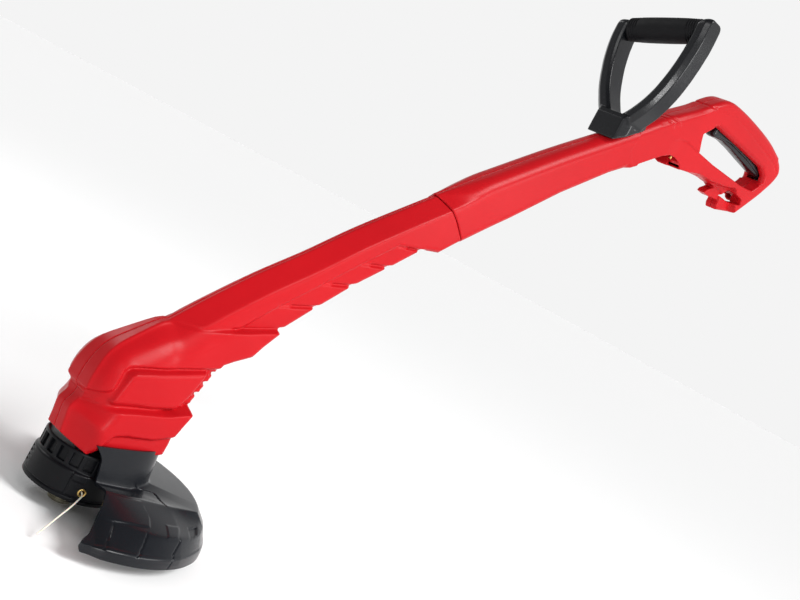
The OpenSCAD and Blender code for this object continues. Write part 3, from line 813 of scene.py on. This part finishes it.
def guard_surface(angle, level):
    """Outer point of the guard at an angle in degrees and a level from 0 to 6."""
    a = np.radians(angle)
    neck = ((np.abs(np.cos(a)) / NECK_HALF_X) ** NECK_POWER
            + (np.abs(np.sin(a)) / NECK_HALF_Y) ** NECK_POWER) ** (-1 / NECK_POWER)
    crease = np.clip(76 / np.maximum(np.abs(np.sin(a)), 0.01), 72, 118)
    shoulder = 129 - 25 * (np.maximum(np.abs(angle) - 45, 0) / 60) ** 2
    foot_z = np.interp(angle, [-120, -95, -55, -30, 64], [43, 41, 41, 47, 49])
    crease_z = np.interp(angle, [-100, -75, -50, 64], [48.5, 47.5, 46, 46])
    flat = 0 * a
    radii = [neck, neck + 3.5, crease, shoulder, 135.6 + flat, 136.4 + flat, 136.8 + flat]
    heights = [70.6 + 0.1 * (neck * np.cos(a) + 47), foot_z, crease_z, 35 + flat, 21 + flat, 16 + flat,
               RIM_Z + flat]
    lower = np.clip(level.astype(int), 0, len(radii) - 2)
    t = level - lower
    r, z = (np.choose(lower, s[:-1]) * (1 - t) + np.choose(lower, s[1:]) * t for s in (radii, heights))
    return np.stack([r * np.cos(a), r * np.sin(a), z], -1)


def guard_relief(angle, level):
    """Height of the panels, lines and notches over the guard's outer surface."""
    def flat(a, s):
        return np.asarray(a) * MM_PER_DEGREE, np.interp(s, range(7), SKIRT_DOWN)

    along, down = flat(angle, level)

    def area(points, soft):
        return within(area_distance(along, down, np.stack(flat(*zip(*points)), 1)), soft)

    h = 0.9 * area(UPPER_PANEL, 0.9)
    h += 0.6 * area(RAISED_PAD, 0.9)
    h -= 1.5 * area(NOTCH, 1.2)
    for line, half in [(line, 0.75) for line in SKIRT_LINES] + [(HOOD_LINE, 0.8)]:
        h += groove(along, down, np.stack(flat(*zip(*line)), 1), half, 0.8)
    h += 0.5 * ease((level - 3.85) / 0.12)
    h -= 4.5 * ease((-103 - angle) / 11) * ease((level - 2.6) / 0.9)
    for middle, half in FACETS:
        shift = np.interp(level, [2, 3, 4, 6], [6, -7, -9, -9])
        off = np.radians(np.clip(np.abs(angle - middle - shift), 0, half))
        h -= 50 * (np.cos(off) - math.cos(math.radians(half))) * ease((level - 2.0) / 0.5)
    return h


def skin_strip(outer, inner):
    """Closed wall between two point grids of the same shape."""
    n, m = outer.shape[:2]
    points = np.concatenate([outer.reshape(-1, 3), inner.reshape(-1, 3)])
    index = np.arange(n * m).reshape(n, m)
    quads = np.stack([index[:-1, :-1], index[:-1, 1:], index[1:, 1:], index[1:, :-1]], -1).reshape(-1, 4)
    faces = [quads, quads[:, ::-1] + n * m]
    ring = np.concatenate([index[0, :-1], index[:-1, -1], index[-1, :0:-1], index[:0:-1, 0]])
    after = np.roll(ring, -1)
    faces.append(np.stack([ring, ring + n * m, after + n * m, after], 1))
    return points, np.concatenate(faces)


def surface_normals(grid_points):
    du = np.gradient(grid_points, axis=0)
    dv = np.gradient(grid_points, axis=1)
    n = np.cross(dv, du)
    return n / np.maximum(np.linalg.norm(n, axis=-1, keepdims=True), 1e-9)


def join(parts):
    """One point list and face array from several."""
    starts = np.cumsum([0] + [len(p) for p, _ in parts])
    return np.concatenate([p for p, _ in parts]), np.concatenate([f + s for (_, f), s in zip(parts, starts)])


def guard():
    columns, rows = ((460, 150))
    share = np.linspace(0, 1, columns)[:, None]
    spread = np.interp(np.linspace(0, 1, rows), [0, 0.16, 0.46, 0.72, 0.86, 0.93, 1], range(7))
    level = np.repeat(spread[None, :], columns, 0)
    low = np.interp(level, *zip(*LEFT_ENDS))
    high = np.interp(level, *zip(*RIGHT_ENDS))
    angle = low + (high - low) * share
    outer = guard_surface(angle, level)
    for _ in range(6):
        outer[:, 1:-1] = 0.25 * outer[:, :-2] + 0.5 * outer[:, 1:-1] + 0.25 * outer[:, 2:]
    normal = surface_normals(outer)
    if normal[columns // 2, rows // 2, 0] < 0:
        normal = -normal
    inner = outer - normal * WALL
    inner[..., 2] = np.maximum(inner[..., 2], RIM_Z)
    outer = outer + normal * guard_relief(angle, level)[..., None]
    inner[:, -1, 2] = outer[:, -1, 2] = RIM_Z
    radius = np.hypot(outer[..., 0], outer[..., 1])
    outer[..., :2] *= np.minimum(1, RIM_RADIUS / radius)[..., None]
    parts = [skin_strip(outer, inner)]
    for side in (-1, 1):
        points, faces = lathe(SCREW_TUBE, 40)
        parts.append((points + np.array([TUBE_X, TUBE_Y * side, 0]), faces))
    # lug of the line cutter, a block turned to its place
    c, s = math.cos(math.radians(LUG_ANGLE)), math.sin(math.radians(LUG_ANGLE))
    spin = np.array([[c, -s, 0], [s, c, 0], [0, 0, 1]])
    block = np.array(list(itertools.product(*zip(LUG_LOW, LUG_HIGH))))
    parts.append((block @ spin.T, np.array([[0, 1, 3, 2], [4, 6, 7, 5], [0, 4, 5, 1], [2, 3, 7, 6],
                                            [0, 2, 6, 4], [1, 5, 7, 3]])))
    add_closed("guard_shell", join(parts), "guard", 40, "housing", "black_plastic", "guard")


def lathe(outline, count, relief=None):
    """Ring turned from a closed (r, z) outline; relief(angle, r, z) moves points outwards."""
    outline = np.asarray(outline, float)
    a = np.linspace(0, 2 * math.pi, count, endpoint=False)[:, None]
    r, z = (np.repeat(outline[None, :, i], count, 0) for i in (0, 1))
    if relief is not None:
        r = r + relief(a, r, z)
    points = np.stack([r * np.cos(a), r * np.sin(a), z], -1).reshape(-1, 3)
    index = np.arange(r.size).reshape(r.shape)
    after = np.roll(index, -1, 0)
    faces = np.stack([index, after, np.roll(after, -1, 1), np.roll(index, -1, 1)], -1).reshape(-1, 4)
    return points, faces


# ---- cutting head
WINDOW_COUNT, WINDOW_HALF, WINDOW_DEPTH = 18, 4.1, 4.2
WINDOW_LOW, WINDOW_HIGH, WINDOW_RADIUS = 45.2, 56.6, 39.5
DRUM_SEAMS = (-125.4, 54.6)
GRIP_RIBS = (157, 337)
EYELET_ANGLE, EYELET_Z, EYELET_RADIUS = -105.4, 27, 41.6
PANEL_ANGLE = -116
DRUM_RADIUS = 42
LINE_ROUTE = [
    (-10, -36.5, 27.5), (-14, -46, 27), (-22, -54, 25.5), (-34, -64, 22), (-48, -74, 17), (-61, -83, 11.5),
    (-73, -91, 6)]
LINE_RADIUS = 0.8
# Closed (r, z) outlines
DRUM = [
    (39.7, 16), (40.9, 15.4), (41.7, 15.7), (42, 16.2), (42, 18.6), (41.6, 19.2), (41.1, 19.6), (41.1, 20.2),
    (41.7, 20.7), (41.9, 21.4), (41.6, 40.6), (41.2, 41.6), (40.4, 42.2), (39.6, 42.6), (39.3, 43.4),
    (39.2, 58.6), (38.6, 59.7), (37.6, 60), (12, 60), (12, 58), (34, 58), (35.6, 57), (36.6, 41.5),
    (38.9, 39), (39.3, 20.5), (39.3, 16.6)]
CAP = [
    (39, 16.4), (39, 18.6), (12, 18.4), (11.5, 17.9), (11.5, 16.2), (12.2, 15.6), (15, 15.6), (15.8, 16.6),
    (18.6, 16.6), (19.4, 15.6), (30, 15.4), (30.6, 16.2), (33.4, 16.4), (34, 16)]
KNOB = [
    (0.02, 0.6), (4.2, 0.6), (4.8, 0), (8.6, 0), (9.8, 0.5), (10.6, 1.5), (10.9, 2.6), (10.9, 3.4),
    (10.3, 3.9), (10.3, 4.3), (11, 4.9), (11, 20.8), (14, 20.9), (14, 23), (6, 23.1), (5.9, 29.6), (5.2, 30),
    (0.02, 30)]
EYELET = [
    (2.2, -5), (3, -5), (3, -0.1), (3.9, 0), (4.1, 0.35), (3.9, 0.95), (3.3, 1.25), (2.7, 1.1), (2.3, 0.6)]


def dense(outline, step):
    """Points along a closed outline, no further apart than step."""
    out = []
    for a, b in zip(outline, outline[1:] + outline[:1]):
        n = max(1, math.ceil(math.dist(a, b) / step))
        out += [(a[0] + (b[0] - a[0]) * k / n, a[1] + (b[1] - a[1]) * k / n) for k in range(n)]
    return out


def drum_relief(a, r, z):
    """Windows in the upper ring, seams and finger ribs on the drum's outer wall."""
    deg = np.degrees(a)

    def degrees_from(at):
        return np.abs((deg - at + 180) % 360 - 180)

    def arc_from(at):
        return degrees_from(at) * math.radians(1) * DRUM_RADIUS

    pitch = 360 / WINDOW_COUNT
    off = np.abs((deg / pitch) % 1 - 0.5) * pitch * math.radians(1) * WINDOW_RADIUS
    h = -WINDOW_DEPTH * (fade(off, WINDOW_HALF, 0.7) * ease((z - WINDOW_LOW) / 0.6)
                         * fade(z, WINDOW_HIGH, 0.6))
    for at in DRUM_SEAMS:
        h -= 0.6 * fade(arc_from(at), 0.25, 0.7) * (z > 21) * (z < 43)
    for at in GRIP_RIBS:
        inside = fade(arc_from(at), 6, 1.2) * ease((z - 22.6) / 0.8) * fade(z, 39.4, 0.8)
        h -= inside * (0.9 + 0.75 * np.cos((z - 24.6) * 2 * math.pi / 4.6))
    # hollow round the line eyelet, and a slim panel between it and the seam, a little proud
    h -= 2.6 * fade(np.hypot(arc_from(EYELET_ANGLE), z - EYELET_Z), 2.4, 0.6)
    h += 0.45 * fade(degrees_from(PANEL_ANGLE), 8.0, 0.9) * ease((z - 34.5) / 0.7) * (z < 41.5)
    return h * ((r > 38.6) & (z > 14))


def knurl(a, r, z):
    ribs = 0.5 - 0.5 * np.cos(a * 24)
    band = ease((z - 4.2) / 0.8) * fade(z, 14.5, 0.8) * (r > 10)
    return -0.55 * band * (1 - ribs) ** 0.5


def cutting_head():
    drum = lathe(dense(DRUM, 0.6), 900, drum_relief)
    add_closed("spool_drum", drum, "black", 50, "cutting_head", "black_plastic", "spool_housing")
    add_closed("drum_cap", lathe(dense(CAP, 1.2), 180), "black", 40, "cutting_head", "black_plastic",
               "head_cap")
    add_closed("metal_knob", lathe(dense(KNOB, 0.7), 240, knurl), "zinc", 45, "bump_knob",
               "knob_metal", "bump_knob")
    points, faces = lathe(dense(EYELET, 0.4), 72)
    c, s = math.cos(math.radians(EYELET_ANGLE)), math.sin(math.radians(EYELET_ANGLE))
    turn = np.array([[-s, c, 0], [0, 0, 1], [c, s, 0]])
    at = (c * EYELET_RADIUS, s * EYELET_RADIUS, EYELET_Z)
    add_closed("brass_eyelet", (at + points @ turn, faces), "brass", 50, "cutting_head", "brass_trim",
               "line_eyelet")


def tube(centre, u, v, radius, sides):
    """Round bar along a line whose cross directions are u and v, with closed ends."""
    k = 2 * math.pi * np.arange(sides) / sides
    ring = np.cos(k)[None, :, None] * u[:, None] + np.sin(k)[None, :, None] * v[:, None]
    index = np.arange(len(centre) * sides).reshape(-1, sides)
    side = np.roll(index, -1, 1)
    faces = np.stack([index[:-1], side[:-1], side[1:], index[1:]], -1).reshape(-1, 4).tolist()
    faces += [index[0][::-1].tolist(), index[-1].tolist()]
    return (centre[:, None] + radius * ring).reshape(-1, 3), faces


def unit(vectors):
    return vectors / np.linalg.norm(vectors, axis=-1, keepdims=True)


def cut_line():
    """The free end of the nylon line, out of its eyelet and down towards the ground."""
    centre = curve_points(LINE_ROUTE, 4)
    ahead = unit(np.gradient(centre, axis=0))
    u = unit(np.cross(ahead, (0, 0, 1.0)))
    obj = add_mesh("trimmer_line", *tube(centre, u, np.cross(u, ahead), LINE_RADIUS, 12), "nylon")
    outward(obj)
    path = [tuple(float(v) * MM for v in c) for c in centre]
    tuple(path[0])
    attach(obj, "cutting_head", "nylon_line", "cutting_line")


# ---- front handle and trigger
ARM_ROUTE = [(-10, 588), (-23, 604), (-36, 626), (-46.5, 656), (-52, 688), (-52.3, 713)]
ARM_HALF = 8.2
GRIP_Z = 708.4
GRIP_AXIS = (0, -0.971, 0.238)
GRIP_SLOPE = 0.25
SADDLE = [
    (445.5, 566), (445, 577), (445, 593), (448, 598), (468, 600), (484, 605), (487, 598), (484.5, 594.2)]
ARM_X, ARM_DEPTH, TOP_Z = 466, 16.5, 733.0
BOLT_X, BOLT_Z = 466, 592
BORE, HEAD_POCKET, NUT_POCKET = 3.1, 6.5, 6.4
GRIP_X, GRIP_HALF, ROD_RADIUS, ROD_HALF = 462, 47.0, 8.8, 50
SLEEVE_RADIUS, SLEEVE_CROWN, RING_DEPTH, RING_WIDTH, RING_PITCH = 14.9, 1.1, 0.95, 0.75, 3.1


def front_frame():
    """D-shaped frame: two bevelled arms, the rod of the grip and a saddle over the shaft."""
    low, high = (440.0, -70.0, 556.0), (508.0, 70.0, 736.0)
    xs, ys, zs = (np.arange(a, b + CELL, CELL) for a, b in zip(low, high))
    # x runs along the first axis only; the maps of y and z have a first axis of length one
    x = xs[:, None, None]
    y, z = (m[None] for m in np.meshgrid(ys, zs, indexing="ij"))
    # height with the left-to-right slope of the grip taken out
    flat_z = np.where(z > 610, (z - GRIP_SLOPE * y * 610 / 104) / (1 - GRIP_SLOPE * y / 104), z)
    route = curve_points(ARM_ROUTE, 6)
    d = line_distance(-np.abs(y), flat_z, route)[0]
    side = area_distance(-np.abs(y), flat_z, [*route.tolist(), (60, 713), (60, 590)])
    # signed distance across the arm, positive on its outer side, and how far a point is in front of it
    s = np.where(side < 0, -d, d)
    t = x - (ARM_X - 0.06 * np.maximum(z - 640, 0))
    depth = ARM_DEPTH - edge_drop(np.clip(721 - flat_z, 0, 12), 12)
    arm = np.maximum(d - ARM_HALF, np.abs(t) - depth)
    for across, front, bevel in ((s, -t, 5.2), (-s, -t, 3.2), (s, t, 5.0), (-s, t, 3.0)):
        arm = np.maximum(arm, (across - ARM_HALF + front - depth + bevel) * math.sqrt(0.5))
    base = area_distance(*np.meshgrid(xs, zs, indexing="ij"), SADDLE)[:, None, :]
    base = smax(base, np.abs(y) - (20.0 + 4.8 * np.clip((x - 446) / 13, 0, 1)), 2.0)
    along = GRIP_AXIS[1] * y + GRIP_AXIS[2] * (z - GRIP_Z)
    radial = np.sqrt(np.maximum((x - GRIP_X) ** 2 + y ** 2 + (z - GRIP_Z) ** 2 - along ** 2, 0))
    value = smin(arm, base, 2.5)
    value = smin(value, np.maximum(radial - ROD_RADIUS, np.abs(along) - ROD_HALF), 1.5)
    # the bolt's bore with the pockets of its head and its nut, and the shaft's ridge
    bolt = np.hypot(x - BOLT_X, z - BOLT_Z)
    value = np.maximum(value, -np.maximum(bolt - HEAD_POCKET, 18.0 - y))
    value = np.maximum(value, -np.maximum(bolt - NUT_POCKET, np.abs(y + 20.5) - 2.9))
    value = np.maximum(value, -np.maximum(bolt - BORE, -y - 23.9))
    ridge = np.interp(x, [430, 454, 505, 530], [551.5, 570.2, 608, 612]) - z
    value = np.maximum(value, -np.maximum(-ridge, np.abs(y) - 17.0))
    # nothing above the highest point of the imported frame
    value = np.maximum(value, z - TOP_Z)
    obj = add_mesh("front_frame", *surface_net(value, low, CELL), "frame")
    attach(obj, "housing", "black_plastic", "front_handle_frame")


def pebble(a, r, z):
    return 0.05 * np.cos(a * 90) * np.cos(z * 4.2) * (np.abs(z) < 31) * (r > 11)


def front_grip():
    """Crowned grip sleeve with turned rings at both ends."""
    half = GRIP_HALF
    s = np.linspace(-half, half, 420)
    r = SLEEVE_RADIUS - SLEEVE_CROWN * (np.abs(s) / half) ** 2.4 - edge_drop(half - np.abs(s), 2.0)
    for k in range(4):
        r -= RING_DEPTH * np.exp(-(((np.abs(s) - (half - 4.2 - RING_PITCH * k)) / RING_WIDTH) ** 2))
    points, faces = lathe([*zip(r, s), (9.2, half), (9.2, -half)], 240, pebble)
    axis, across = unit(np.array(GRIP_AXIS)), np.array([1.0, 0, 0])
    turn = np.array([across, np.cross(axis, across), axis])
    add_closed("front_grip", ((GRIP_X, 0, GRIP_Z) + points @ turn, faces), "rubber", 55, "housing",
               "grip_rubber", "front_grip_sleeve")


TRIGGER_OUTLINE = [
    (641, 655), (643.5, 652), (648, 651), (655, 652.2), (672, 654.4), (700, 653.8), (738, 651.2), (773, 649),
    (798, 648.2), (804, 650), (806, 654), (806, 662), (800, 667.5), (700, 667.5), (652, 669.5), (642, 667.5)]
TRIGGER_CREASE = [(656, 656.4), (690, 660), (740, 658.5), (796, 652.2)]
TRIGGER_HALF, PIN_X, PIN_Z, PIN_BORE = 8.2, 798, 657, 2.05


def trigger():
    low, high = (636, 644), (810, 674)
    x, z = grid(low, high, TRIGGER_CELL)
    outline = area_distance(x, z, TRIGGER_OUTLINE)
    width = TRIGGER_HALF - edge_drop(np.maximum(-outline, 0) + np.where(z > 664, 9, 0), 4.5)
    width = np.maximum(width + groove(x, z, TRIGGER_CREASE, 0.7, 0.5), 0.8)
    bore = PIN_BORE - np.hypot(x - PIN_X, z - PIN_Z)
    obj = add_mesh("trigger_bar", *slab_net(outline, width, low, TRIGGER_CELL, cuts=[bore], radius=1.2),
                   "frame")
    attach(obj, "trigger", "black_plastic", "trigger_lever")


# ---- springs
def coil_spring(node, body, foot, radius, wire, height, turns):
    """Compression spring on a vertical axis, with a closed turn at both ends. Wire is its radius."""
    turn = np.linspace(0, turns, turns * 28 + 1)
    free = height - 2 * wire
    rise = wire + np.interp(turn, [0, 1, turns - 1, turns], [0, 2.1 * wire, free - 2.1 * wire, free])
    a = 2 * math.pi * turn
    out = np.stack([np.cos(a), np.sin(a), 0 * a], 1)
    centre = np.stack([foot[0] + radius * np.cos(a), foot[1] + radius * np.sin(a), foot[2] + rise], 1)
    ahead = unit(np.gradient(centre, axis=0))
    return add_closed(node + "_coil", tube(centre, out, np.cross(ahead, out), wire, 8), "steel", None,
                      body, "steel", node)


# ---- carried-over CAD nodes
# Every node that isn't named here is steel
CAD_LOOKS = {
    "red": "lower_housing_left lower_housing_right upper_housing_left upper_housing_right switch_plunger",
    "black": "spool_housing head_cap trigger_lever switch_body inlet_insert",
    "guard": "guard",
    "frame": "front_handle_frame",
    "rubber": "front_grip_sleeve",
    "grey": "joint_sleeve upper_bracket bearing_plate cooling_fan line_spool",
    "zinc": "bump_knob",
    "lamination": "field_core armature_core",
    "copper": "field_windings armature_windings commutator",
    "brass": "line_eyelet inlet_pins",
    "resin": "brush_holders",
    "carbon": "carbon_brushes",
    "nylon": "cutting_line wound_line",
    "case": "suppressor_capacitor",
    "wire": "wiring_loom",
}


def dress_cad():
    looks = {name: look for look, names in CAD_LOOKS.items() for name in names.split()}
    for name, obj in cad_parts.items():
        look = mats[looks.get(name, "steel")]
        if not obj.material_slots:
            obj.data.materials.append(look)
        for slot in obj.material_slots:
            slot.material = look


mats = build_materials()
add_camera()
add_studio()
dress_cad()
cut_line()
lower_housing()
upper_housing()
guard()
cutting_head()
front_frame()
front_grip()
trigger()
spring = coil_spring("knob_spring", "cutting_head", (0, 0, 28), 9.6, 0.6, 21.8, 5)
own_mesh(spring)
spring = coil_spring("trigger_spring", "housing", (712, 0, 668.2), 4.0, 0.5, 22, 6)
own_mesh(spring)
